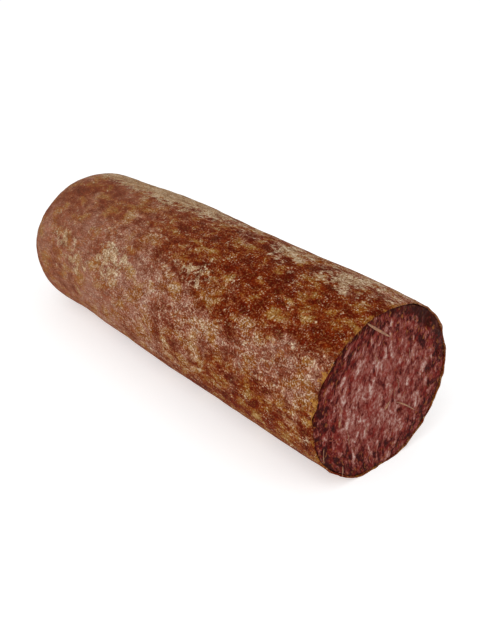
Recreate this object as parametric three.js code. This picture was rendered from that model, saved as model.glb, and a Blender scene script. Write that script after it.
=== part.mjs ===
// A length of cured sausage, lying on its side. One end is cut across. The other is the
// rounded end, where the casing is gathered to a neck and held shut by a wire clip.
// X runs along the sausage towards the cut face, Z is up, and the underside rests on z = 0.
// Every size is in millimetres. A station is a distance from the rounded end's crown.
import * as THREE from "three";

// The stuffed body.
const BODY_LENGTH = 183;
const BELLY_RADIUS = 32.8; // half the width at its widest
const BELLY_STATION = 165;
const TAPER = 4; // how much narrower the half width would be at the crown
const CROWN_DEPTH = 24;
const CROWN_ROUNDNESS = 2.42; // 2 is an ellipse, and more is blunter
const HEIGHT_SHARE = 0.96; // the section sags to this share of its width
const PRESSED_DEPTH = 0.8; // how far its own weight has pressed the underside flat

// The casing, with the neck and tuft beyond the crown.
const CASING_WALL = 0.5;
const SEAT_GAP = 0.3; // room between two pieces that touch
const NECK_RADIUS = 3;
const TUFT_RADIUS = 5.4;
const TUFT_LENGTH = 10;
const TUFT_ROUNDING = 1.2;

// The clip's wire, bent round the neck with its two ends almost meeting underneath.
const CLIP_STATION = -3.4;
const WIRE_WIDTH = 2.6;
const WIRE_THICKNESS = 1.7;
const CLIP_OPEN_DEGREES = 24;

// How finely the round shapes are divided.
const AROUND = 56;
const CROWN_STEPS = 11;
const BODY_STEPS = 8;
const CLIP_STEPS = 32;

// The origin is midway along the whole length, tuft included.
const MIDDLE = (BODY_LENGTH - TUFT_LENGTH) / 2;

const materials = {
  casing: new THREE.MeshStandardMaterial({ color: 0x8a4f33, roughness: 0.55, metalness: 0 }),
  meat: new THREE.MeshStandardMaterial({ color: 0x7c413b, roughness: 0.45, metalness: 0 }),
  clip: new THREE.MeshStandardMaterial({ color: 0xc9cbcd, roughness: 0.35, metalness: 1 }),
};

// Half the width of the body, which swells to its belly and tapers towards the crown.
function halfWidthAt(station) {
  const back = (BELLY_STATION - station) / BELLY_STATION;
  return BELLY_RADIUS - TAPER * back ** 2;
}

// How high the axis stands over the surface, with the underside pressed flat on it.
function axisHeightAt(station) {
  return halfWidthAt(station) * HEIGHT_SHARE - PRESSED_DEPTH;
}

// The outline from the crown to the cut, a given depth inside the skin, as (radius, station).
// The crown is a superellipse, and its first point stands at firstRadius.
function outline(inset, firstRadius) {
  const points = [];
  const power = 2 / CROWN_ROUNDNESS;
  for (let step = 0; step < CROWN_STEPS; step++) {
    const angle = (step / CROWN_STEPS) * (Math.PI / 2);
    const station = inset + (CROWN_DEPTH - inset) * (1 - Math.cos(angle) ** power);
    const radius = (halfWidthAt(station) - inset) * Math.sin(angle) ** power;
    points.push(new THREE.Vector2(Math.max(radius, firstRadius), station));
  }
  for (let step = 0; step <= BODY_STEPS; step++) {
    const station = THREE.MathUtils.lerp(CROWN_DEPTH, BODY_LENGTH, step / BODY_STEPS);
    points.push(new THREE.Vector2(halfWidthAt(station) - inset, station));
  }
  return points;
}

// Spins an outline round the axis, lays it along X, lets the section sag and stands it on
// z = 0. Each ring of points stops at its own floor: z = 0 for the skin, the wall's depth for
// what is inside it.
function laidDown(profile, floorOf) {
  const spun = new THREE.LatheGeometry(profile, AROUND);
  spun.rotateZ(-Math.PI / 2);
  const place = spun.getAttribute("position");
  for (let i = 0; i < place.count; i++) {
    const station = place.getX(i);
    const height = axisHeightAt(station) + place.getZ(i) * HEIGHT_SHARE;
    place.setZ(i, Math.max(height, floorOf(i % profile.length)));
    place.setX(i, station - MIDDLE);
  }
  return spun;
}

function piece(name, geometry, material) {
  const mesh = new THREE.Mesh(geometry, material);
  mesh.name = name;
  return mesh;
}

// The casing: a thin sleeve open only at the cut, drawn in to a solid neck and a short tuft.
function casing() {
  const clipEdge = WIRE_WIDTH / 2 + SEAT_GAP;
  const gathered = [
    new THREE.Vector2(0, -TUFT_LENGTH),
    new THREE.Vector2(TUFT_RADIUS - TUFT_ROUNDING, -TUFT_LENGTH),
    new THREE.Vector2(TUFT_RADIUS, TUFT_ROUNDING - TUFT_LENGTH),
    new THREE.Vector2(NECK_RADIUS, CLIP_STATION - clipEdge),
    new THREE.Vector2(NECK_RADIUS, CLIP_STATION + clipEdge),
  ];
  const outside = [...gathered, ...outline(0, NECK_RADIUS + SEAT_GAP)];
  const inside = outline(CASING_WALL, 0).reverse();
  const floorOf = (ring) => (ring < outside.length ? 0 : CASING_WALL);
  return piece("casing", laidDown([...outside, ...inside], floorOf), materials.casing);
}

// The meat: one solid that fills the casing and ends flush with it at the cut.
function meat() {
  const inset = CASING_WALL + SEAT_GAP;
  const profile = [...outline(inset, 0), new THREE.Vector2(0, BODY_LENGTH)];
  return piece("meat", laidDown(profile, () => inset), materials.meat);
}

// The clip: flat wire bent into an open ring round the neck, its gap facing down.
function endClip() {
  const reach = NECK_RADIUS + SEAT_GAP + WIRE_THICKNESS / 2;
  const halfGap = THREE.MathUtils.degToRad(CLIP_OPEN_DEGREES / 2);
  const first = halfGap - Math.PI / 2;
  const last = (3 * Math.PI) / 2 - halfGap;
  const ring = new THREE.EllipseCurve(0, 0, reach, reach, first, last);
  const bend = new THREE.CatmullRomCurve3(
    ring.getSpacedPoints(CLIP_STEPS).map((point) => new THREE.Vector3(0, point.x, point.y)),
  );
  const section = new THREE.Shape();
  section.absellipse(0, 0, WIRE_WIDTH / 2, WIRE_THICKNESS / 2, 0, 2 * Math.PI);
  const wire = new THREE.ExtrudeGeometry(section, {
    steps: CLIP_STEPS,
    curveSegments: 8,
    extrudePath: bend,
  });
  const clip = piece("end_clip", wire, materials.clip);
  clip.position.set(CLIP_STATION - MIDDLE, 0, axisHeightAt(CLIP_STATION));
  return clip;
}

const sausage = new THREE.Group();
sausage.add(meat(), casing(), endClip());

export default sausage;
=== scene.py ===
# %% [markdown]
# # A length of cured sausage
#
# The object is a sausage about as thick as a wrist. One end has been cut across, and the
# other is the rounded end that its maker closed with a metal clip. It has three pieces: the
# meat, the casing round it and the clip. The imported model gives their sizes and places, so
# it is loaded first and everything below is measured from it.

# %% Load the frame
import math
import random
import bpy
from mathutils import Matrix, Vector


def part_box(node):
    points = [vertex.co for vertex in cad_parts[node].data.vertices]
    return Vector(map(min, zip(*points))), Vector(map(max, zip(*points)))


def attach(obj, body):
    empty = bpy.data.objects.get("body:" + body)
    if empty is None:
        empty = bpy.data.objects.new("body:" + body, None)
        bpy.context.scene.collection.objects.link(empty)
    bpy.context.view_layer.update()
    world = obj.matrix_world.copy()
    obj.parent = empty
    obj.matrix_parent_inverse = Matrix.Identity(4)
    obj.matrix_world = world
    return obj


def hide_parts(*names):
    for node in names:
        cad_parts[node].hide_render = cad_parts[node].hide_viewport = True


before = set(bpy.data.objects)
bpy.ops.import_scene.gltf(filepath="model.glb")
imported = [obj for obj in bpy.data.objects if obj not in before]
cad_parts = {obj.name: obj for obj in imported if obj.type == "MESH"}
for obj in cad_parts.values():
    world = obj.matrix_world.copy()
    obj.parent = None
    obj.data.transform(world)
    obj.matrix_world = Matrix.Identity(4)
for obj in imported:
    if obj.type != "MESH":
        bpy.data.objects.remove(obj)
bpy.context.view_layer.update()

from types import SimpleNamespace

import bmesh
import bpy
from mathutils import Matrix, Vector, noise

# %% [markdown]
# ## Camera
#
# A camera can be turned by hand until the view looks right. Here it is placed on a sphere
# round the sausage instead: an azimuth, an elevation and a distance say where it stands, and
# it looks back along that line. Those three numbers can be read and changed one at a time.

# %% Camera
MM = 0.001
CAMERA_AZIMUTH = math.radians(48.6)
CAMERA_ELEVATION = math.radians(30.5)
CAMERA_DISTANCE = 411 * MM
CAMERA_LENS = 60.98
AIM = Vector((24.4, 0, 26.6)) * MM


def direction(azimuth, elevation):
    """The way out from the middle, with azimuth 0 in front of the sausage's long side."""
    flat = math.cos(elevation)
    return Vector((math.sin(azimuth) * flat, -math.cos(azimuth) * flat, math.sin(elevation)))


camera_data = bpy.data.cameras.new("camera")
camera_data.lens = CAMERA_LENS
camera_data.clip_start = 0.01
camera = bpy.data.objects.new("camera", camera_data)
outward = direction(CAMERA_AZIMUTH, CAMERA_ELEVATION)
camera.location = AIM + outward * CAMERA_DISTANCE
camera.rotation_euler = outward.to_track_quat("Z", "Y").to_euler()
bpy.context.scene.collection.objects.link(camera)
bpy.context.scene.camera = camera
print("camera at", [round(value, 3) for value in camera.location])

# %% [markdown]
# ## Sizes
#
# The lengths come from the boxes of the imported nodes, so that the visible pieces stay where
# the model has them. The crown, where the rounded end begins, is found from the meat: that
# node ends inside the casing there, and the casing's own box has the neck and tuft in it.

# %% Sizes read from the frame
MEAT_INSET = 0.8 * MM  # how deep inside the skin the meat begins
casing_low, casing_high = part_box("casing")
meat_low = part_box("meat")[0]
clip_low, clip_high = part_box("end_clip")

CUT_X = casing_high.x
CROWN_X = meat_low.x - MEAT_INSET
BODY_LENGTH = CUT_X - CROWN_X
BELLY_RADIUS = (casing_high.y - casing_low.y) / 2
print(f"body {BODY_LENGTH / MM:.1f} mm long and {2 * BELLY_RADIUS / MM:.1f} mm wide")

# %% [markdown]
# ## The body's curve
#
# The body is a solid of revolution that has sagged a little. It swells to a belly near the
# cut, tapers towards the other end, and closes there in a blunt crown. The crown is a
# superellipse, as it is in the model, because an ellipse would be too pointed for a casing
# that was filled tight. A station is a distance from the crown, towards the cut.

# %% Curve of the body
BELLY_STATION = 165 * MM
TAPER = 4 * MM
CROWN_DEPTH = 24 * MM
CROWN_ROUNDNESS = 2.42
HEIGHT_SHARE = 0.96
PRESSED_DEPTH = 0.8 * MM


def unit(value):
    """A number brought into the range from 0 to 1."""
    return min(max(value, 0.0), 1.0)


def half_width(station):
    """Half the body's width at a station."""
    return BELLY_RADIUS - TAPER * ((BELLY_STATION - station) / BELLY_STATION) ** 2


def axis_height(station):
    """How high the body's axis stands there."""
    return half_width(station) * HEIGHT_SHARE - PRESSED_DEPTH


def radius_at(station, inset=0.0):
    """The radius of the body there, a given depth inside its skin."""
    share = unit((CROWN_DEPTH - station) / (CROWN_DEPTH - inset))
    roundness = (1 - share**CROWN_ROUNDNESS) ** (1 / CROWN_ROUNDNESS)
    return (half_width(station) - inset) * roundness


print("radius 5 mm behind the crown:", round(radius_at(5 * MM) / MM, 1), "mm")

# %% [markdown]
# ## Outlines
#
# Both big pieces begin as an outline that is spun round the axis. An outline is a list of
# (station, radius) points. Quads of an even size take displacement best, so an outline is
# drawn finely by its formula and then stepped off again at equal lengths, as a pair of
# dividers would do it.

# %% Outline helpers
FINE_STEPS = 1200


def stepped(points, step):
    """The same line with its points a step apart, its two ends kept."""
    reach = [0.0]
    for start, end in zip(points, points[1:]):
        reach.append(reach[-1] + math.dist(start, end))
    count = max(1, round(reach[-1] / step))
    even, at = [], 0
    for number in range(count + 1):
        goal = reach[-1] * number / count
        while at < len(points) - 2 and reach[at + 1] < goal:
            at += 1
        share = (goal - reach[at]) / (reach[at + 1] - reach[at])
        even.append(tuple(a + (b - a) * share for a, b in zip(points[at], points[at + 1])))
    return even


def skin_line(inset, first_radius, step):
    """The body's outline a given depth inside the skin, from first_radius to the cut."""
    line = []
    for number in range(FINE_STEPS + 1):
        station = inset + (BODY_LENGTH - inset) * (number / FINE_STEPS) ** 2
        if radius_at(station, inset) > first_radius:
            line.append((station, radius_at(station, inset)))
    return stepped([(inset, first_radius), *line], step)


print(len(skin_line(0, 3.3 * MM, 0.7 * MM)), "points on the skin's outline")

# %% [markdown]
# ## Spinning an outline
#
# bmesh.ops.spin turns a line of vertices into a surface. The line is drawn in the plane
# above the axis, and a full turn with use_merge closes it on itself. The points that lie on
# the axis come out as a heap of doubles, so these are merged before the normals are worked
# out. The outline's depth rides along in a vertex layer, which the later steps read.

# %% Spin


def spun(outline, steps):
    """A closed body from an outline of (station, radius, depth inside the skin) points."""
    body = bmesh.new()
    depth_layer = body.verts.layers.float.new("depth")
    line = []
    for station, radius, depth in outline:
        corner = body.verts.new((CROWN_X + station, 0, radius))
        corner[depth_layer] = depth
        line.append(corner)
    edges = [body.edges.new(pair) for pair in zip(line, line[1:])]
    bmesh.ops.spin(
        body, geom=line + edges, cent=(0, 0, 0), axis=(1, 0, 0),
        angle=2 * math.pi, steps=steps, use_merge=True,
    )
    bmesh.ops.remove_doubles(body, verts=body.verts, dist=0.001 * MM)
    bmesh.ops.recalc_face_normals(body, faces=body.faces)
    return body


trial = spun([(0, 0, 0), (5 * MM, 5 * MM, 0), (10 * MM, 0, 0)], 12)
print("an outline of 3 points spins to", len(trial.verts), "vertices")
trial.free()

# %% [markdown]
# ## Laying it down
#
# A filled casing is heavy and a little soft, so its section is wider than it is high, and
# the underside is pressed flat along a strip. Both are moves of the spun vertices: the
# height is scaled, and nothing may lie below the surface. The knife ran a little off square,
# so the last stretch leans back with height.

# %% Lay down
LEAN = math.tan(math.radians(1.9))
LEAN_REACH = 14 * MM
SOFT_FLOOR = 0.15 * MM


def lean_at(place):
    """How far the cut's lean moves a point along the sausage."""
    near = unit((place.x - CUT_X + LEAN_REACH) / LEAN_REACH)
    return -LEAN * (place.z - axis_height(BODY_LENGTH)) * near


def lay_down(body, floor_depth):
    """Sags the section, stands it on the surface and leans the cut."""
    depth_layer = body.verts.layers.float["depth"]
    for corner in body.verts:
        place = corner.co
        station = place.x - CROWN_X
        place.z = axis_height(station) + place.z * HEIGHT_SHARE
        over = place.z - min(corner[depth_layer], floor_depth)
        place.z += (math.hypot(over, SOFT_FLOOR) - over) / 2
        place.x += lean_at(place)


top_lean = -lean_at(Vector((CUT_X, 0, casing_high.z)))
print(f"the top of the cut leans back {top_lean / MM:.1f} mm")

# %% [markdown]
# ## From bmesh to object
#
# Every piece ends the same way: the bmesh becomes a mesh, its edges that fold sharply keep
# a crisp crease and the rest is shaded smooth, it is hung on the sausage's body, and the model
# node it stands in for, if any, is hidden. The object itself stays at the origin with its place
# in its mesh.

# %% Finish a piece
CREASE = math.radians(50)


def finished(body, name, material, node):
    """Turns a bmesh into an object that rides on the sausage in place of a model node."""
    body.normal_update()
    for face in body.faces:
        face.smooth = True
    for edge in body.edges:
        edge.smooth = edge.calc_face_angle(0) < CREASE
    mesh = bpy.data.meshes.new(name)
    body.to_mesh(mesh)
    body.free()
    mesh.materials.append(material)
    piece = bpy.data.objects.new(name, mesh)
    bpy.context.scene.collection.objects.link(piece)
    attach(piece, "root")
    if node:
        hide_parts(node)
    triangles = sum(len(polygon.vertices) - 2 for polygon in mesh.polygons)
    print(f"{name}: {len(mesh.vertices)} vertices, {triangles} triangles")


print("edges that fold more than", round(math.degrees(CREASE)), "degrees stay crisp")

# %% [markdown]
# ## Shader arithmetic
#
# A procedural material is mostly sums: masks are multiplied, inverted and added. Written as
# nodes, one sum takes ten lines, so a small class wraps a socket and lets Python's own
# operators add the Math nodes. Any other node is added by its node method.

# %% Shader class


class Wire:
    """A socket in a material's node tree. Arithmetic on it adds Math nodes."""

    def __init__(self, tree, socket=None):
        self.tree, self.socket = tree, socket

    def node(self, kind, settings=None, sockets=None, out=0):
        """Adds a node, with its settings first and then its sockets' values or links."""
        made = self.tree.nodes.new("ShaderNode" + kind)
        for name, value in (settings or {}).items():
            if name == "stops":
                while len(made.color_ramp.elements) < len(value):
                    made.color_ramp.elements.new(0.5)
                for stop, (position, colour) in zip(made.color_ramp.elements, value):
                    stop.position, stop.color = position, colour
            else:
                setattr(made, name, value)
        for name, value in (sockets or {}).items():
            if isinstance(value, Wire):
                self.tree.links.new(value.socket, made.inputs[name])
            else:
                made.inputs[name].default_value = value
        return Wire(self.tree, made.outputs[out])

    def maths(self, operation, *values, clamp=False):
        settings = {"operation": operation, "use_clamp": clamp}
        return self.node("Math", settings, dict(enumerate(values)))

    def __add__(self, other):
        return self.maths("ADD", self, other)

    def __sub__(self, other):
        return self.maths("SUBTRACT", self, other)

    def __mul__(self, other):
        return self.maths("MULTIPLY", self, other)

    def __rsub__(self, other):
        return self.maths("SUBTRACT", other, self)

    __radd__, __rmul__ = __add__, __mul__

    def clamped(self):
        return self.maths("ADD", self, 0.0, clamp=True)

    def highest(self, other):
        return self.maths("MAXIMUM", self, other)

    def ramp(self, stops):
        """The colour that a list of (position, colour) stops gives this value."""
        return self.node("ValToRGB", {"stops": stops}, {"Fac": self})

    def between(self, low, high):
        """0 at low, 1 at high, and a smooth step from one to the other."""
        names = {"Value": self, "From Min": low, "From Max": high}
        return self.node("MapRange", {"interpolation_type": "SMOOTHSTEP"}, names)

    def blend(self, colour, other):
        """Mixes two colours by this value."""
        return self.node("Mix", {"data_type": "RGBA"}, {0: self, 6: colour, 7: other}, out=2)


print("a wire can be added, taken away, multiplied, clamped, ramped and blended")

# %% [markdown]
# ## Colours and new materials
#
# Colours are easiest to judge as a painter's numbers from 0 to 255, and the shader wants them
# linear, so they are turned once, here. A new material gets those of its shader's values
# that stay the same all over, and hands back a first wire for the ones that vary.

# %% Colours and new materials


def srgb(red, green, blue):
    """A colour given as a painter's 0 to 255 values, as the shader's linear one."""
    light = [(value / 255 + 0.055) / 1.055 for value in (red, green, blue)]
    flat = [value / 255 / 12.92 for value in (red, green, blue)]
    return tuple(a**2.4 if b > 0.00313 else b for a, b in zip(light, flat)) + (1.0,)


def new_material(name, **constants):
    """A material with its shader's constants set, with its first wire and its shader."""
    material = bpy.data.materials.new(name)
    material.use_nodes = True
    shader = material.node_tree.nodes["Principled BSDF"]
    for socket, value in constants.items():
        shader.inputs[socket.replace("_", " ")].default_value = value
    return material, Wire(material.node_tree), shader


def plug(tree, wire, shader, socket):
    """Leads a wire into one of the shader's sockets."""
    tree.links.new(wire.socket, shader.inputs[socket])


print("the middle grey 128 is", round(srgb(128, 128, 128)[0], 3), "to the shader")

# %% [markdown]
# ## Patterns
#
# Most marks on the sausage are noise at some size. Noise is read from Object coordinates,
# so that it stays on the piece. A Mapping node stretches it, and blobs of colour are made
# from the distance to a chosen point, with noise added so that their edges wander.

# %% Pattern helpers


def stretched(place, scale, turn=(0, 0, 0), shift=(0, 0, 0)):
    """Object coordinates scaled, turned and moved, so that a pattern is too."""
    sockets = {"Vector": place, "Location": shift, "Rotation": turn, "Scale": scale}
    return place.node("Mapping", None, sockets)


def noisy(place, size, detail=2.0, roughness=0.5, distortion=0.0):
    """Smooth noise with lumps of about that size, from about 0.2 to 0.8."""
    sockets = {
        "Vector": place, "Scale": 1 / size, "Detail": detail,
        "Roughness": roughness, "Distortion": distortion,
    }
    return place.node("TexNoise", None, sockets)


def astray(place, size, distance):
    """Object coordinates led astray by noise, so that whatever reads them gets ragged edges."""
    sockets = {"Vector": place, "Scale": 1 / size, "Detail": 3.0}
    lead = place.node("TexNoise", None, sockets, out=1)
    lead = place.node("VectorMath", {"operation": "SUBTRACT"}, {0: lead, 1: (0.5, 0.5, 0.5)})
    lead = place.node("VectorMath", {"operation": "SCALE"}, {0: lead, "Scale": distance})
    return place.node("VectorMath", {"operation": "ADD"}, {0: place, 1: lead})


def blob(place, centre, reach):
    """1 at a point on the piece, fading to 0 at the reach along each axis."""
    scale = tuple(1 / value for value in reach)
    shift = tuple(-a / b for a, b in zip(centre, reach))
    local = stretched(place, scale, shift=shift)
    away = place.node("VectorMath", {"operation": "LENGTH"}, {0: local}, out=1)
    return (1 - away).clamped()


print("patterns are noise, stretched or led astray, and blobs round a point")

# %% [markdown]
# ## The casing's finish
#
# The casing is a thin film dried on to the meat. Its own colour runs from burgundy, where lean
# meat shows through, to ochre, where there is fat behind it. Over that lies a pale bloom. It
# fills some places as a haze, has dried to flecks of crust in others, and picks out the film's
# fine wrinkles everywhere, as a net of pale lines. One colour ramp could be used for all of
# it, but then dusty and bare places would differ only in brightness. So each layer gets a
# ramp of its own, and masks lay one over the other.

# %% Colours of the casing
FILM = (
    (0.00, srgb(84, 16, 2)), (0.25, srgb(104, 26, 3)), (0.45, srgb(126, 46, 8)),
    (0.62, srgb(142, 80, 22)), (0.80, srgb(154, 108, 50)), (1.00, srgb(182, 140, 84)),
)
ROSE_HAZE = ((0.0, srgb(136, 64, 42)), (0.5, srgb(162, 100, 76)), (1.0, srgb(194, 152, 132)))
OCHRE_HAZE = ((0.0, srgb(124, 62, 18)), (0.5, srgb(154, 96, 42)), (1.0, srgb(188, 146, 92)))
NET = ((0.0, srgb(206, 150, 78)), (0.5, srgb(216, 176, 140)), (1.0, srgb(238, 212, 198)))
CRUST = ((0.0, srgb(124, 82, 54)), (0.5, srgb(178, 143, 106)), (1.0, srgb(232, 212, 182)))
GOLD = ((0.0, srgb(80, 26, 8)), (0.45, srgb(132, 76, 26)), (1.0, srgb(180, 124, 56)))
CLEAN_GAP = srgb(80, 20, 2)
FAR_HAZE = srgb(156, 106, 80)
# Pale specks: partly dust, partly painted glints.
BRIGHT_DUST_AND_GLINT = srgb(242, 222, 198)
print(len(FILM + ROSE_HAZE + OCHRE_HAZE + NET + CRUST + GOLD), "colours mixed for the casing")

# %% [markdown]
# Dust lies thick in some places, and in others the bare film shows. Each such zone is a soft
# blob round a point on the casing. One patch near the top of the far half is painted shade,
# drawn as bare film. The upper back, along the top edge, is painted lighter with dust and
# crust, as a painted reflection. On the back side of the cut the golden edge is painted darker,
# as shade. Read straight, the blobs would have smooth outlines, so their coordinates are led
# astray first. The finest marks are drawn weaker on the front of the rounded end, and the
# mask called crisp says how much.

# %% Zones of the casing


def zones(place):
    """Where the dust lies thick or thin, and where shade and a reflection are painted, as masks
    from 0 to 1.
    """
    loose = astray(place, 14 * MM, 34 * MM)
    lengthwise = place.node("SeparateXYZ", None, {0: loose})
    sideways = place.node("SeparateXYZ", None, {0: loose}, out=1)
    bare_film_and_shade = blob(loose, (0.052, -0.012, 0.064), (0.075, 0.019, 0.026))
    # A patch near the top of the far half is painted shade, drawn as film with its dust taken off.
    painted_shade = blob(loose, (-0.048, -0.008, 0.060), (0.040, 0.013, 0.020)) * 0.6
    torn = blob(place, (0.094, -0.031, 0.038), (0.006, 0.006, 0.012))
    torn = torn.highest(blob(place, (0.094, -0.028, 0.047), (0.005, 0.005, 0.006)))
    crisp = lengthwise.between(-0.07, 0.04).highest(sideways.between(0.0, 0.03))
    return SimpleNamespace(
        bare_film_and_shade=bare_film_and_shade.highest(painted_shade),
        dusty=blob(loose, (0.040, -0.036, 0.044), (0.12, 0.032, 0.032)),
        low=blob(loose, (0.076, -0.030, 0.016), (0.075, 0.024, 0.024)),
        # The upper back along the top edge: a painted reflection, drawn as thicker dust.
        painted_edge_reflection=blob(loose, (0.064, 0.018, 0.055), (0.080, 0.024, 0.022)),
        far=1 - lengthwise.between(-0.07, 0.04),
        # The back side of the cut, where the golden edge is painted in shade.
        shaded_back_side=sideways.between(-0.01, 0.03),
        torn=torn,
        crisp=crisp * 0.44 + 0.16,
    )


print("zones: bare, dusty, low, behind, far, back side, torn and crisp")

# %% [markdown]
# The marks run from drifts as wide as a thumb down to grit as fine as flour. Each size is one
# noise, centred on 0, so that they can be added together in any strength. The wrinkles are
# contour lines of a noise: a cosine of it rises and falls many times over its range.

# %% Marks of every size
VEIN_TURNS = 36  # how many radians of wave the whole range of the noise makes


def marks_on(place, crisp):
    """The casing's marks by size, each centred on 0."""
    along = stretched(place, (0.6, 1, 1))
    moved = stretched(place, (0.8, 1, 1), shift=(0.3, 0.1, 0))
    swirl = noisy(along, 2.6 * MM, 3, 0.62, 0.8)
    wave = swirl.maths("COSINE", swirl * VEIN_TURNS) * 0.5 + 0.5
    return SimpleNamespace(
        wander=noisy(place, 22 * MM, 3) - 0.5,
        patch=noisy(place, 9 * MM, 3, 0.55, 0.4) - 0.5,
        hue=noisy(moved, 6 * MM, 3, 0.6) - 0.5,
        mottle=(noisy(along, 3.2 * MM, 4, 0.65, 0.5) - 0.5) * (crisp * 0.7 + 0.58),
        vein=wave.between(0.4, 1.0) - 0.3,
        grit=noisy(place, 0.62 * MM, 2, 0.6) - 0.5,
    )


print("marks from 22 mm wide down to 0.6 mm")

# %% [markdown]
# The first layer is the film with the haze on it. The second is the net: pale dust caught on
# the wrinkles, and clean gaps between them where the dark film shows.

# %% Film, haze and net


def film_under_haze(zone, mark):
    """The colour of the film with its haze, and how much dust there is, from 0 to 1."""
    # The painted reflection along the upper back raises the pale dust there.
    cover = zone.dusty * 0.6 - zone.bare_film_and_shade * 1.5 - zone.low + zone.far * 0.35 + zone.painted_edge_reflection * 0.5
    cover = cover + mark.wander + mark.patch * 1.3 + mark.mottle * 1.4 + 0.44
    cover = cover.between(0.1, 0.95)
    tone = mark.patch * 0.8 + mark.hue * 1.5 + mark.mottle * 1.7 + mark.grit * zone.crisp
    film = (tone + zone.low * 0.06 - zone.bare_film_and_shade * 0.09 + 0.42).ramp(FILM)
    pale = mark.mottle * 1.8 + mark.wander + zone.far * 0.16 + 0.48
    warm = (mark.hue + mark.patch * 0.4 + zone.low * 0.1 - zone.far * 0.04).between(-0.10, 0.12)
    haze = warm.blend(pale.ramp(ROSE_HAZE), pale.ramp(OCHRE_HAZE))
    colour = (cover * 0.64).blend(film, haze)
    return (zone.far * 0.3).blend(colour, FAR_HAZE), cover


def netted(colour, cover, zone, mark):
    """The colour with dust on the film's wrinkles and clean gaps between them."""
    fine = mark.grit * 2.4 + mark.vein * 0.42 + mark.mottle * 0.5
    net = (cover * 0.75 + mark.hue * 1.6 + 0.1).ramp(NET)
    colour = (fine.between(0.0, 0.52) * zone.crisp * (cover * 0.58 + 0.32)).blend(colour, net)
    return (fine.between(-0.03, -0.40) * zone.crisp * 0.85).blend(colour, CLEAN_GAP)


print("two layers: the film under its haze, and the net on it")

# %% [markdown]
# In a few places the dust got damp and dried to a crust, which has no colour of the film in
# it any more. Along the cut the film stands free, with no red meat behind it, and looks
# golden. Both are laid over the rest, with edges broken by the middle-sized marks.

# %% Crusts, specks and golden edge
CRUST_SPOTS = (  # a place on the casing and how far the crust reaches from it, in metres
    ((0.025, -0.021, 0.054), 0.006), ((-0.020, -0.027, 0.044), 0.012),
    ((-0.041, -0.029, 0.036), 0.008), ((-0.052, -0.027, 0.041), 0.006),
    ((0.045, 0.006, 0.060), 0.010), ((0.074, 0.005, 0.061), 0.012),
    ((0.020, -0.020, 0.054), 0.005),
)


def crusted(colour, place, zone, mark):
    """The colour with flecks of dried crust, and bright specks that are partly dust and partly
    painted glints.
    """
    loose = astray(place, 8 * MM, 16 * MM)
    # The long strip along the upper back is a painted reflection of the top edge, drawn as crust.
    spots = blob(loose, (-0.034, 0.010, 0.056), (0.064, 0.014, 0.014)) * 1.9
    for centre, reach in CRUST_SPOTS:
        spots = spots.highest(blob(loose, centre, (reach * 1.4, reach, reach)))
    fleck = noisy(stretched(place, (1.2, 1, 0.8)), 2.8 * MM, 3, 0.6, 0.2)
    dried = spots * 0.34 + zone.painted_edge_reflection * 0.17 + fleck + mark.mottle * 0.6 + mark.grit * 0.25
    tone = mark.grit * (zone.crisp + 0.3) * 2.6 + mark.mottle * 1.6 + mark.vein * zone.crisp * 0.5
    colour = (dried.between(0.62, 0.82) * 0.85).blend(colour, (tone + 0.5).ramp(CRUST))
    # Single bright specks, partly dust and partly painted glints of the wrinkles.
    speck_and_glint = mark.grit.between(0.09, 0.16) * mark.mottle.between(-0.08, 0.10) * zone.crisp
    return (speck_and_glint * 0.8).blend(colour, BRIGHT_DUST_AND_GLINT)


def gilded(colour, lip, zone, mark):
    """The colour with the golden edge that the free film has along the cut, painted darker and
    weaker on the back side as shade.
    """
    golden = (lip + mark.mottle * 2.2 + mark.patch * 0.9 + zone.torn * 0.4).between(0.90, 1.10)
    tone = mark.mottle * 2.0 + mark.grit * 1.4 + mark.vein * 0.2 + zone.torn * 0.45 + 0.42
    # On the back side of the cut the gold is darker and weaker: painted shade.
    tone = tone - zone.shaded_back_side * 0.2
    return (golden * (0.9 - zone.shaded_back_side * 0.35)).blend(colour, tone.ramp(GOLD))


print(len(CRUST_SPOTS), "spots of crust")

# %% [markdown]
# The material puts the layers together. Dry dust scatters light in all directions, so the
# shader's gloss is off, and only the bare film keeps a thin coat. The finest wrinkles are too
# small for the mesh, so they are bump.

# %% Casing material


def casing_material():
    material, start, shader = new_material(
        "dried_casing", IOR=1.45, Specular_IOR_Level=0.0, Coat_Roughness=0.2,
    )
    place = start.node("TexCoord", out=3)
    lip = start.node("Attribute", {"attribute_name": "lip"}, out=2)
    zone = zones(place)
    mark = marks_on(place, zone.crisp)
    colour, cover = film_under_haze(zone, mark)
    colour = netted(colour, cover, zone, mark)
    colour = crusted(colour, place, zone, mark)
    colour = gilded(colour, lip, zone, mark)
    height = mark.vein * 0.8 + mark.grit * 1.2 + mark.mottle * 0.8
    bump = start.node("Bump", None, {"Strength": 1.0, "Distance": 0.35 * MM, "Height": height})
    plug(material.node_tree, colour, shader, "Base Color")
    plug(material.node_tree, cover * 0.25 + 0.42 + mark.grit * 0.5, shader, "Roughness")
    plug(material.node_tree, (0.05 - cover * 0.08).clamped(), shader, "Coat Weight")
    plug(material.node_tree, bump, shader, "Normal")
    return material


casing_finish = casing_material()
print(len(casing_finish.node_tree.nodes), "nodes in the casing's material")

# %% [markdown]
# ## The meat's finish
#
# The cut shows lean meat and fat, ground to the size of rice grains and dragged one way when
# the filling was pressed in. The mesh carries that way as the attribute called grain, which
# the patterns are read from, so they bend with it. Each grain is one cell of a pattern, with
# edges led astray. Towards the rim the meat has dried longest, and is dark and full of specks.

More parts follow.
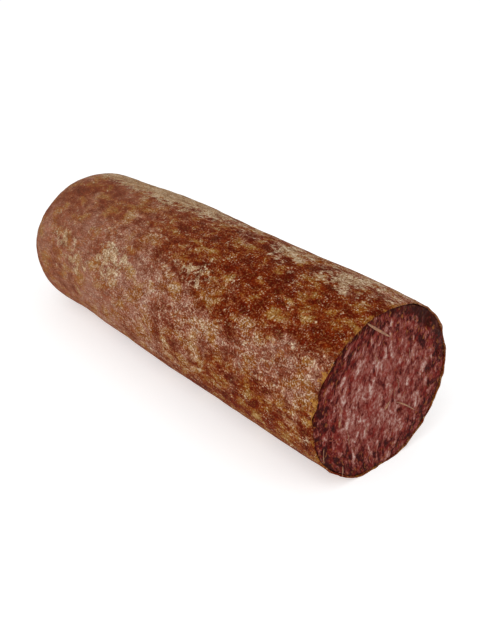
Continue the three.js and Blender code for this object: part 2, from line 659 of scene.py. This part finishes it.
# %% Colours and marks of the meat
LEAN_AND_FAT = (
    (0.0, srgb(48, 6, 5)), (0.24, srgb(86, 20, 15)), (0.48, srgb(122, 58, 49)),
    (0.70, srgb(148, 96, 86)), (1.0, srgb(190, 162, 152)),
)
LEAN_RED = srgb(122, 26, 18)
SPICE = srgb(146, 86, 42)
# The dark of the dried rim, also used as painted shade in the hollows and at the upper edge.
DARK_RIM_AND_SHADE = srgb(46, 14, 6)


def meat_marks(grain, fat):
    """The grains of lean and fat, and the fine threads in them, centred on 0."""
    swayed = astray(grain, 1.6 * MM, 2.2 * MM)
    cells = {"Vector": stretched(swayed, (1, 1, 0.5)), "Scale": 1 / (1.7 * MM), "Smoothness": 0.35}
    cell = grain.node("TexVoronoi", {"feature": "SMOOTH_F1"}, cells, out=1)
    cell = grain.node("SeparateColor", None, {0: cell}) - 0.5
    flecks = noisy(stretched(grain, (1, 1, 0.55)), 2.4 * MM, 4, 0.65, 0.8).between(0.34, 0.66) - 0.5
    fine = noisy(stretched(grain, (1, 1, 0.6)), 0.75 * MM, 3, 0.65, 0.2) - 0.5
    return cell * 0.46 + flecks * 0.44 + fine * 1.15 + fat * 0.15, fine, flecks


print(len(LEAN_AND_FAT), "colours from dark lean to pale fat")

# %% [markdown]
# The material colours the marks from lean to fat and lays three layers over them: redder
# lean in some places, brown spice along the rim, and the dark dried rim itself. The hollows
# get the rim's darkening too, as painted shade in them. The upper edge on the far side is
# painted darker as shade, and that mask also strengthens the spice and the dark rim there.

# %% Meat material


def meat_material():
    material, start, shader = new_material("cured_meat", IOR=1.45, Specular_IOR_Level=0.03)
    place = start.node("TexCoord", out=3)
    grain = start.node("Attribute", {"attribute_name": "grain"}, out=1)
    fat = start.node("Attribute", {"attribute_name": "fat"}, out=2) - 0.5
    rim = start.node("Attribute", {"attribute_name": "rim"}, out=2)
    marks, fine, flecks = meat_marks(grain, fat)
    # The upper edge on the far side is painted darker: painted shade.
    upper_shade = blob(place, (CUT_X, 0.020, 0.052), (0.030, 0.028, 0.026))
    # Darker towards the rim, where the meat dried, and in the hollows, where it is painted shade.
    dry_rim_and_hollow_shade = (rim * 1.1 + (noisy(place, 5 * MM, 2) - 0.5) * 1.3).between(0.0, 1.0)
    tone = marks * (dry_rim_and_hollow_shade * 0.3 + 0.95) - upper_shade * 0.15 - dry_rim_and_hollow_shade * 0.37 + 0.535
    colour = tone.ramp(LEAN_AND_FAT)
    red = noisy(place, 2.8 * MM, 3).between(0.50, 0.64)
    colour = (red * 0.45).blend(colour, LEAN_RED)
    spice = noisy(stretched(grain, (1, 1, 0.7), shift=(0.2, 0, 0)), 1.3 * MM, 2).between(0.58, 0.68)
    colour = (spice * (rim * 0.6 + upper_shade * 0.4 + 0.1)).blend(colour, SPICE)
    # A dark line along the rim, deepest in the hollows and at the upper edge, where it is painted
    # shade.
    rim_line_and_shade = (rim + upper_shade * 0.34 + (noisy(place, 1.5 * MM, 3) - 0.5) * 0.8).between(0.90, 1.12)
    colour = (rim_line_and_shade * (upper_shade * 0.3 + 0.52)).blend(colour, DARK_RIM_AND_SHADE)
    relief = {"Strength": 1.0, "Distance": 0.2 * MM, "Height": fine + flecks}
    bump = start.node("Bump", None, relief)
    plug(material.node_tree, colour, shader, "Base Color")
    plug(material.node_tree, 0.45 - fine * 0.5, shader, "Roughness")
    plug(material.node_tree, bump, shader, "Normal")
    return material


meat_finish = meat_material()
print(len(meat_finish.node_tree.nodes), "nodes in the meat's material")

# %% [markdown]
# ## The clip's finish
#
# The clip is bare aluminium wire. Drawing the wire leaves fine streaks along it, and squeezing
# the clip polishes some of them, so the roughness varies where the colour hardly does.

# %% Clip material


def clip_material():
    material, start, shader = new_material("clip_aluminium", Metallic=1.0)
    place = start.node("TexCoord", out=3)
    brushed = noisy(stretched(place, (6, 1, 1)), 1.5 * MM, 2)
    colour = brushed.blend(srgb(190, 192, 194), srgb(222, 223, 224))
    plug(material.node_tree, colour, shader, "Base Color")
    plug(material.node_tree, brushed * 0.3 + 0.22, shader, "Roughness")
    return material


clip_finish = clip_material()
print(len(clip_finish.node_tree.nodes), "nodes in the clip's material")

# %% [markdown]
# ## The casing
#
# The film is one closed skin: outside, over the lip at the cut, back along the inside, and
# out to the clipped neck and its tuft. Its outside is stepped off finely, because every dent
# and wrinkle is real relief. The inside is hidden against the meat, so it is coarse.

# %% Casing outline
AROUND = 300
SKIN_STEP = 0.79 * MM
INSIDE_STEP = 5 * MM
WALL = 0.6 * MM
NECK_RADIUS = 2.9 * MM
TUFT_RADIUS = 5.2 * MM
TUFT_LENGTH = 10 * MM
TUFT_STEP = 0.45 * MM
CLIP_STATION = (clip_low.x + clip_high.x) / 2 - CROWN_X
TUFT_START = CLIP_STATION - 1.4 * MM

tuft_line = [
    (-TUFT_LENGTH * 0.86, 0.0), (-TUFT_LENGTH * 0.93, TUFT_RADIUS * 0.55),
    (-TUFT_LENGTH, TUFT_RADIUS * 0.94), (-TUFT_LENGTH * 0.96, TUFT_RADIUS),
    (CLIP_STATION - 2.2 * MM, NECK_RADIUS * 1.25), (CLIP_STATION - 1.5 * MM, NECK_RADIUS),
    (CLIP_STATION + 1.5 * MM, NECK_RADIUS), (CLIP_STATION + 2.5 * MM, NECK_RADIUS * 1.15),
    (0.0, NECK_RADIUS * 1.7),
]
outside_line = stepped(tuft_line, TUFT_STEP)[:-1]
outside_line += skin_line(0, NECK_RADIUS * 1.7, SKIN_STEP)
inside_line = skin_line(WALL, 0, INSIDE_STEP)[::-1]
casing_outline = [(station, radius, 0.0) for station, radius in outside_line]
casing_outline += [(station, radius, WALL) for station, radius in inside_line]
print(len(casing_outline), "points on the casing's outline")

# %% [markdown]
# The outside has relief of three sizes. Broad dents come from the filling, pebbles are grains
# of fat and meat that the film has shrunk on to, and wrinkles run lengthwise, because the
# sausage dries thinner and hardly shorter. A texture could fake the small ones, but the light
# would then miss them at the edges, so each is a height that moves the vertices.

# %% Dents, pebbles and wrinkles
SWELLS = (  # a place on the body in mm from its axis, how far it reaches and how high it stands
    ((-68, -26, 9), 18, 1.0), ((-50, -27, -15), 20, -0.9), ((96, -21, -23), 12, -0.6),
    ((96, 25, 8), 15, -0.7), ((-25, 20, 22), 30, 0.8), ((20, 20, 25), 18, -0.4),
)


def dents(place):
    """Broad unevenness that the casing and the meat share."""
    height = noise.fractal(place * 26, 1.0, 2.0, 2) * 0.55
    for centre, reach, swell in SWELLS:
        away = (place / MM - Vector(centre)).length / reach
        height += swell * (1 + math.cos(math.pi * min(away, 1.0))) / 2
    return height * MM


def pebbles(place):
    """Grains of fat and meat under the film."""
    near = noise.fractal(Vector((place.x * 150, place.y * 210, place.z * 210)), 0.9, 2.1, 2)
    return near * 0.16 * MM


def wrinkles(place):
    """Fine folds that run lengthwise."""
    line = noise.noise(Vector((place.x * 70, place.y * 330, place.z * 330)))
    return (0.5 - abs(line)) * 0.14 * MM


print(len(SWELLS), "swells shape the body")

# %% [markdown]
# At the rounded end the film is gathered into pleats, which run into the neck. Beyond the
# clip they open again into a tuft with a ragged end. Both are waves round the axis. Their
# phase wanders, so no two pleats are alike.

# %% Pleats and tuft
PLEATS = 21
TUFT_FOLDS = 9


def pleat_at(angle):
    """The height of the gathered film round the neck, from -1 in a fold to 1 on a ridge."""
    wander = 1.3 * math.sin(2 * angle + 0.4) + 0.8 * math.sin(5 * angle + 2.0)
    wave = math.cos(PLEATS * angle + wander)
    return 1 - 2 * abs(wave) ** 0.7


def tuft_at(station, angle):
    """The film's folds beyond the clip: how much they draw it in, and how ragged its end is."""
    flare = unit((TUFT_START - station) / (4 * MM))
    wander = 1.1 * math.sin(2 * angle) + 0.7 * math.sin(3 * angle + 1)
    fold = (1 + math.cos(TUFT_FOLDS * angle + wander)) / 2
    turn = Vector((math.sin(angle), math.cos(angle), 0))
    ragged = noise.fractal(turn * 2.6, 0.8, 2.0, 3) * 1.1 * MM
    return 0.45 * fold**1.4 * flare, ragged * flare


print(PLEATS, "pleats and", TUFT_FOLDS, "folds in the tuft")

# %% [markdown]
# A knife pulls a dry film more than it cuts it. The film's edge is ragged, has a few nicks,
# and has come away from the meat here and there and curled outwards.

# %% Edge of the cut
LIP_REACH = 5 * MM
NICKS = (  # where round the cut in degrees from the top, how wide in degrees, how deep in mm
    (26, 9, 0.9), (43, 7, 1.1), (73, 8, 0.7), (-64, 8, 0.8), (-84, 7, 0.9),
)


def edge_of_cut(angle):
    """How far the film's torn edge stands past the cut, and how far it has curled outwards."""
    turn = Vector((math.sin(angle), math.cos(angle), 0))
    ragged = noise.fractal(turn * 8, 0.9, 2.2, 3) * 0.35
    for nick, width, depth in NICKS:
        away = abs((math.degrees(angle) - nick + 180) % 360 - 180) / width
        ragged -= depth * max(1 - away, 0) ** 0.7
    peel = max(noise.noise(turn * 1.7 + Vector((3, 0, 0))), 0.0) * 0.8
    peel += max(noise.noise(turn * 6), 0.0) * 0.5
    return ragged * MM, peel * MM


print(len(NICKS), "nicks in the film's edge")

# %% [markdown]
# Every vertex of the casing now gets the sum of the moves that reach it. The normals are read
# before anything moves, because the relief stands on the smooth body. Only then is the body
# laid down, so that nothing of it sinks through the surface it lies on.

# %% Moves of the film
AXIS_FADE = 8 * MM  # the radius within which the relief dies away towards the axis
PLEAT_HEIGHT = 0.75 * MM
PLEAT_OUTSIDE = 24 * MM  # the radius at which the pleats begin
PLEAT_FULL = 6 * MM  # and the radius at which they are highest
EDGE_BAND = 1 * MM  # so near the cut, the film moves straight outwards


def film_move(corner, outside):
    """How the relief moves one vertex of the casing."""
    place, normal = corner.co, corner.normal
    station = place.x - CROWN_X
    radius, angle = math.hypot(place.y, place.z), math.atan2(place.y, place.z)
    side = Vector((0, place.y, place.z)).normalized()
    if station < TUFT_START:
        share, ragged = tuft_at(station, angle)
        return side * (-share * radius) + Vector((ragged, 0, 0))
    up = dents(place)
    if outside and station > 0:
        up += pebbles(place) + wrinkles(place)
    up *= unit(radius / AXIS_FADE)
    if outside and station < CROWN_DEPTH:
        gather = unit((PLEAT_OUTSIDE - radius) / (PLEAT_OUTSIDE - PLEAT_FULL)) ** 2
        up += gather * (pleat_at(angle) + 1) * PLEAT_HEIGHT * unit(radius / PLEAT_FULL)
    near = unit(1 - (BODY_LENGTH - station) / LIP_REACH)
    ragged, peel = edge_of_cut(angle) if near > 0 else (0, 0)
    along = side if station > BODY_LENGTH - EDGE_BAND else (normal if outside else -normal)
    return along * up + side * peel * near**4 + Vector((ragged * near**3, 0, 0))


print("relief dies away within", round(AXIS_FADE / MM), "mm of the axis")

# %% [markdown]
# All that is left is to spin the outline and move its vertices. Two layers tell the inside
# from the outside: depth, which came with the outline, and lip, which the material reads to
# lay gold along the cut.

# %% Casing


def build_casing():
    body = spun(casing_outline, AROUND)
    body.normal_update()
    lip_layer = body.verts.layers.float.new("lip")
    depth_layer = body.verts.layers.float["depth"]
    moves = []
    for corner in body.verts:
        outside = corner[depth_layer] < WALL / 2
        near = unit(1 - (CUT_X - corner.co.x) / LIP_REACH)
        corner[lip_layer] = near if outside else 1.0
        moves.append(film_move(corner, outside))
    for corner, move in zip(body.verts, moves):
        corner.co += move
    lay_down(body, WALL)
    finished(body, "dried_casing", casing_finish, "casing")


build_casing()

# %% [markdown]
# ## The meat
#
# The meat is one solid that fills the casing, and only its cut shows. A filling machine
# presses it in and it drags along the casing, so that on the left the grains bend with the
# rim. That way is worked out twice: as a direction for the relief, and as coordinates with
# the bend taken out, for the material.

# %% Way of the grain
RIM_FOLLOW = 0.9  # how closely the grains on the left lie along the rim
LEFT_BEND = 0.75
RIGHT_BEND = 0.15


def flow(across, up, reach):
    """Which way the grains lie: upright, and leaning with the rim on the left."""
    share, angle = math.hypot(across, up) / reach, math.atan2(up, across)
    left = unit(-1.4 * math.cos(angle)) * (1.0 if up > 0 else 0.3)
    follow = RIM_FOLLOW * share * left
    rim_way = Vector((0, -math.sin(angle), math.cos(angle)))
    if rim_way.z < 0:
        rim_way = -rim_way
    return (Vector((0, 0, 1)) * (1 - follow) + rim_way * follow).normalized()


def along_grain(place, reach):
    """A vertex's place with the grain straightened out, for patterns that follow it."""
    bend = LEFT_BEND if place.y < 0 else RIGHT_BEND
    across = place.y / math.sqrt(1 - bend * min((place.z / reach) ** 2, 1.0))
    return Vector((place.x, across, place.z))


print("in the middle of the cut the grains lie along", tuple(flow(0.0, 0.0, BELLY_RADIUS)))

# %% [markdown]
# Fat dries less than lean does, so it stands a little proud on the cut, and where the knife
# pulled a morsel out there is a hollow. A picture of the grain would stay flat, so each
# vertex is asked whether fat or lean lies there. The answer is noise, smeared along the
# grain's way by taking the mean of several places along it.

# %% Hollows and fat
HOLLOWS = (  # how far across and above the axis, how wide and how deep, all in mm
    (21, 20, 2.6, 0.9), (28.5, 5, 1.8, 0.6), (-25, -9, 1.6, 0.5), (9, -12, 1.3, 0.4),
)
SMEAR_SIDE = 3  # how many places on each side of the vertex are asked
SMEAR_STEP = 0.36 * MM


def hollow_at(place):
    """How far a torn-out morsel has left the cut hollow there, from 0 to 1, and how deep."""
    share = depth = 0.0
    for across, up, reach, deep in HOLLOWS:
        away = math.hypot(place.y / MM - across, (place.z / MM - up) * 0.7) / reach
        if away < 1:
            share = 1 - away**2
            depth = deep * MM * share
    return share, depth


def fatness(place, way):
    """How fatty the cut is at a place, from 0 to 1, smeared along the grain's way."""
    total = 0.0
    for number in range(-SMEAR_SIDE, SMEAR_SIDE + 1):
        sample = place + way * (number * SMEAR_STEP)
        total += noise.noise(sample * 520) + 0.8 * noise.noise(sample * 260)
    mean = total / (2 * SMEAR_SIDE + 1)
    return unit(0.45 + mean * 0.95 + noise.noise(place * 90) * 0.16)


print(len(HOLLOWS), "morsels torn out of the cut")

# %% [markdown]
# The outline is coarse along the side, which the casing hides, and then goes in fine steps
# from the rim to the middle of the cut. The cut's edge is rounded over, as it dries and
# shrinks most.

# %% Meat
FACE_STEP = 0.45 * MM
MEAT_AROUND = 360
RIM_REACH = 15 * MM
FAT_HEIGHT = 0.2 * MM
EDGE_REACH = 2.2 * MM
EDGE_DROP = 0.3 * MM


def build_meat():
    back = skin_line(MEAT_INSET, 0, INSIDE_STEP)
    rim_radius = back[-1][1]
    rings = round(rim_radius / FACE_STEP)
    face = [(BODY_LENGTH, rim_radius * number / rings) for number in range(rings, -1, -1)]
    outline = [(station, radius, MEAT_INSET) for station, radius in back[:-1] + face]
    body = spun(outline, MEAT_AROUND)
    fat_layer = body.verts.layers.float.new("fat")
    rim_and_hollow_shade_layer = body.verts.layers.float.new("rim")
    grain_layer = body.verts.layers.float_vector.new("grain")
    for corner in body.verts:
        place = corner.co
        radius = math.hypot(place.y, place.z)
        corner[grain_layer] = along_grain(place, rim_radius)
        tone, hollow = 0.5, 0.0
        if place.x > CUT_X - 0.01 * MM:
            tone = fatness(place, flow(place.y, place.z, rim_radius))
            hollow, depth = hollow_at(place)
            edge = unit(1 - (rim_radius - radius) / EDGE_REACH)
            place.x += (tone - 0.5) * FAT_HEIGHT - edge**2 * EDGE_DROP - depth
        corner[fat_layer] = tone
        # The hollows go into the rim layer too, so the material paints them dark: painted shade in
        # the hollows.
        corner[rim_and_hollow_shade_layer] = max(unit(1 - (rim_radius - radius) / RIM_REACH), hollow)
        if radius > 0:
            side = Vector((0, place.y, place.z)) / radius
            place += side * dents(place) * unit(radius / rim_radius)
    lay_down(body, MEAT_INSET)
    finished(body, "cured_meat", meat_finish, "meat")


build_meat()

# %% [markdown]
# ## Sinew
#
# A few pale threads of sinew were drawn out by the knife and lie on the cut. A curve object
# with a bevel could make them, but it would end in flat discs. A ball pulled out along a bend
# thins towards both ends by itself, as a torn fibre does, so each thread is one ball.

# %% Threads of sinew
STRANDS = (  # start, middle and end as (y, z) on the cut, then the width, all in mm
    ((-9.2, 60.4), (-4.6, 56.4), (2.2, 51.0), 0.9),
    ((7.0, 23.4), (12.0, 20.6), (17.6, 15.2), 0.5),
    ((3.6, 25.2), (2.6, 23.8), (1.4, 22.8), 0.8),
    ((-20.8, 26.0), (-20.7, 27.6), (-20.4, 29.4), 0.8),
    ((-18.7, 5.0), (-18.3, 7.2), (-18.6, 9.4), 0.6),
    ((-27.6, 21.0), (-28.2, 18.0), (-27.4, 15.0), 0.4),
)
STRAND_LIFT = 0.12 * MM  # how far a thread's middle stands out of the cut
STRAND_FLATNESS = 0.5


def strand(body, start, middle, end, width):
    """A ball pulled out and bent along a curve on the cut."""
    made = bmesh.ops.create_uvsphere(body, u_segments=8, v_segments=14, radius=1)
    start, middle, end = (Vector((0, *point)) * MM for point in (start, middle, end))
    for corner in made["verts"]:
        share = (corner.co.z + 1) / 2
        centre = start * (1 - share) ** 2 + middle * 2 * share * (1 - share) + end * share**2
        way = ((middle - start) * (1 - share) + (end - middle) * share).normalized()
        across = Vector((0, -way.z, way.y))
        centre.x = CUT_X + STRAND_LIFT
        centre.x += lean_at(Vector((CUT_X, centre.y, centre.z)))
        flat = Vector((corner.co.y * STRAND_FLATNESS, 0, 0))
        corner.co = centre + (across * corner.co.x + flat) * width * MM / 2


print(len(STRANDS), "threads of sinew have a place of their own")

# %% [markdown]
# Dry sinew is half clear. It is lighter than the meat, a little yellow, and shinier. Besides
# the threads with a place of their own, a few very fine ones are strewn over the cut, from
# a seeded generator, so that they come out the same each time.

# %% Sinew
LOOSE_FIBRES = 9


def sinew_material():
    material, start, shader = new_material("pale_sinew", IOR=1.45, Specular_IOR_Level=0.3)
    place = start.node("TexCoord", out=3)
    mottled = noisy(place, 1.2 * MM, 3, 0.6).between(0.35, 0.65)
    colour = mottled.blend(srgb(116, 68, 46), srgb(164, 118, 82))
    plug(material.node_tree, colour, shader, "Base Color")
    plug(material.node_tree, mottled * 0.2 + 0.3, shader, "Roughness")
    return material


def build_sinew():
    body = bmesh.new()
    for start, middle, end, width in STRANDS:
        strand(body, start, middle, end, width)
    chance = random.Random(7)
    for _ in range(LOOSE_FIBRES):
        across, up = chance.uniform(-22, 22), chance.uniform(12, 50)
        lean, length = chance.uniform(-2, 2), chance.uniform(2.5, 6)
        middle = (across + chance.uniform(-0.6, 0.6), up + length / 2)
        strand(body, (across, up), middle, (across + lean, up + length), chance.uniform(0.2, 0.3))
    bmesh.ops.recalc_face_normals(body, faces=body.faces)
    finished(body, "sinew_strands", sinew_material(), None)


build_sinew()

# %% [markdown]
# ## The clip
#
# A clipping machine bends a short length of aluminium round the gathered neck. A curve with
# a bevel could make it, but its ends would be hard to shape. So a section made as a small
# grid is spun not quite all the way round, which closes the ends by itself. The grid's
# corners are drawn in first, to round the wire.

# %% Clip section
CLIP_WIDTH = 2.6 * MM
CLIP_INSIDE = NECK_RADIUS + 0.1 * MM
CLIP_THICKNESS = 1.9 * MM
CORNER_ROUNDING = 0.3


def clip_section(body):
    """The wire's section as a grid of faces, standing above the axis."""
    made = bmesh.ops.create_grid(body, x_segments=8, y_segments=5, size=1)
    for corner in made["verts"]:
        along, out = corner.co.x, corner.co.y
        rounded = along * math.sqrt(1 - CORNER_ROUNDING * out**2)
        out *= math.sqrt(1 - CORNER_ROUNDING * along**2)
        place = CROWN_X + CLIP_STATION + rounded * CLIP_WIDTH / 2
        corner.co = (place, 0, CLIP_INSIDE + (out + 1) / 2 * CLIP_THICKNESS)


print(f"wire {CLIP_WIDTH / MM:.1f} mm wide and {CLIP_THICKNESS / MM:.1f} mm thick")

# %% [markdown]
# The machine then squeezes the clip in a die. The die leaves it slightly square, with a
# groove round its outside. Its two ends nearly meet. They are pinched thinner, and they
# slip a little past each other. Each of these is a move of the vertices that grows outwards.

# %% Squeezed clip
CLIP_TURN = math.radians(338)
SQUARING = 0.3 * MM
GROOVE_DEPTH = 0.16 * MM
GROOVE_SHARE = 0.35  # of half the wire's width
END_SHARE = 0.1  # of half the clip's turn
END_PINCH = 0.5 * MM
END_SLIP = 0.35 * MM


def squeezed(place):
    """Where the die has pushed a point of the bent wire."""
    radius, angle = math.hypot(place.y, place.z), math.atan2(place.y, place.z)
    out = (radius - CLIP_INSIDE) / CLIP_THICKNESS
    along = (place.x - CROWN_X - CLIP_STATION) / (CLIP_WIDTH / 2)
    groove = max(1 - abs(along) / GROOVE_SHARE, 0.0) * max(math.cos(angle * 2) + 0.4, 0)
    end = max(abs(angle) / (CLIP_TURN / 2) - (1 - END_SHARE), 0.0) / END_SHARE
    swell = -SQUARING * math.cos(4 * angle) - GROOVE_DEPTH * groove - END_PINCH * end**2
    grown = 1 + swell * out / radius
    slip = math.copysign(END_SLIP, place.y) * end
    return Vector((place.x + slip, place.y * grown, place.z * grown))


print("the clip goes", round(math.degrees(CLIP_TURN)), "degrees round the neck")

# %% [markdown]
# The wire's edges are bevelled last, because a die has no perfectly sharp corners and it is
# the bevels that catch the light.

# %% Clip
CLIP_STEPS = 72
CLIP_BEVEL = 0.12 * MM


def build_clip():
    body = bmesh.new()
    clip_section(body)
    bmesh.ops.rotate(
        body, verts=body.verts, cent=(0, 0, 0), matrix=Matrix.Rotation(CLIP_TURN / -2, 3, "X"),
    )
    bmesh.ops.spin(
        body, geom=body.verts[:] + body.edges[:] + body.faces[:], cent=(0, 0, 0),
        axis=(1, 0, 0), angle=CLIP_TURN, steps=CLIP_STEPS,
    )
    body.verts.layers.float.new("depth")
    for corner in body.verts:
        corner.co = squeezed(corner.co)
    bmesh.ops.recalc_face_normals(body, faces=body.faces)
    sharp = [edge for edge in body.edges if edge.calc_face_angle(0) > CREASE]
    bmesh.ops.bevel(
        body, geom=sharp, offset=CLIP_BEVEL, segments=2, profile=0.5, affect="EDGES", material=-1,
    )
    lay_down(body, 0)
    finished(body, "crimped_clip", clip_finish, "end_clip")


build_clip()

# %% [markdown]
# ## Floor and light
#
# The sausage lies on a white sheet, as in a light tent. The sheet glows a little, which is
# what the light through its back does in a real tent, and keeps the shadow soft. It is a
# plain square, far bigger than the sausage, so that its edges stay out of sight.

# %% Floor
FLOOR_SIZE = 6.0
FLOOR_GREY = 0.7
FLOOR_GLOW = 0.5


def build_floor():
    body = bmesh.new()
    bmesh.ops.create_grid(body, x_segments=1, y_segments=1, size=FLOOR_SIZE)
    mesh = bpy.data.meshes.new("floor")
    body.to_mesh(mesh)
    body.free()
    mesh.materials.append(new_material(
        "pale_floor", Base_Color=(FLOOR_GREY, FLOOR_GREY, FLOOR_GREY, 1), Roughness=0.9,
        Specular_IOR_Level=0.0, Emission_Color=(1, 1, 1, 1), Emission_Strength=FLOOR_GLOW,
    )[0])
    floor = bpy.data.objects.new("floor", mesh)
    bpy.context.scene.collection.objects.link(floor)


build_floor()
print("a floor", 2 * FLOOR_SIZE, "m wide")

# %% [markdown]
# A white sky lights the sausage from all sides. It is drawn full white behind everything and
# lights less than that, which a Light Path node sees to. A broad lamp from the upper left
# and a weaker one from the right give the relief its light and dark sides.

# %% Light
WORLD_LIGHT = 0.68
LAMP_DISTANCE = 0.9
LAMP_SIZE = 0.6


def softbox(name, azimuth, elevation, power):
    """A round lamp that shines at the sausage from an azimuth and an elevation."""
    lamp = bpy.data.lights.new(name, "AREA")
    lamp.shape = "DISK"
    lamp.size, lamp.energy = LAMP_SIZE, power
    holder = bpy.data.objects.new(name, lamp)
    out = direction(math.radians(azimuth), math.radians(elevation))
    holder.location = AIM + out * LAMP_DISTANCE
    holder.rotation_euler = out.to_track_quat("Z", "Y").to_euler()
    bpy.context.scene.collection.objects.link(holder)


world = bpy.data.worlds.new("studio")
world.use_nodes = True
sky = world.node_tree.nodes["Background"]
sky.inputs["Color"].default_value = (1, 1, 1, 1)
seen = Wire(world.node_tree).node("LightPath")
plug(world.node_tree, seen * (1 - WORLD_LIGHT) + WORLD_LIGHT, sky, "Strength")
bpy.context.scene.world = world
softbox("key", 20, 50, 2.4)
softbox("fill", 90, 35, 1.0)
bpy.context.scene.view_settings.view_transform = "Standard"
print("two lamps and a sky that gives", WORLD_LIGHT, "of full white")
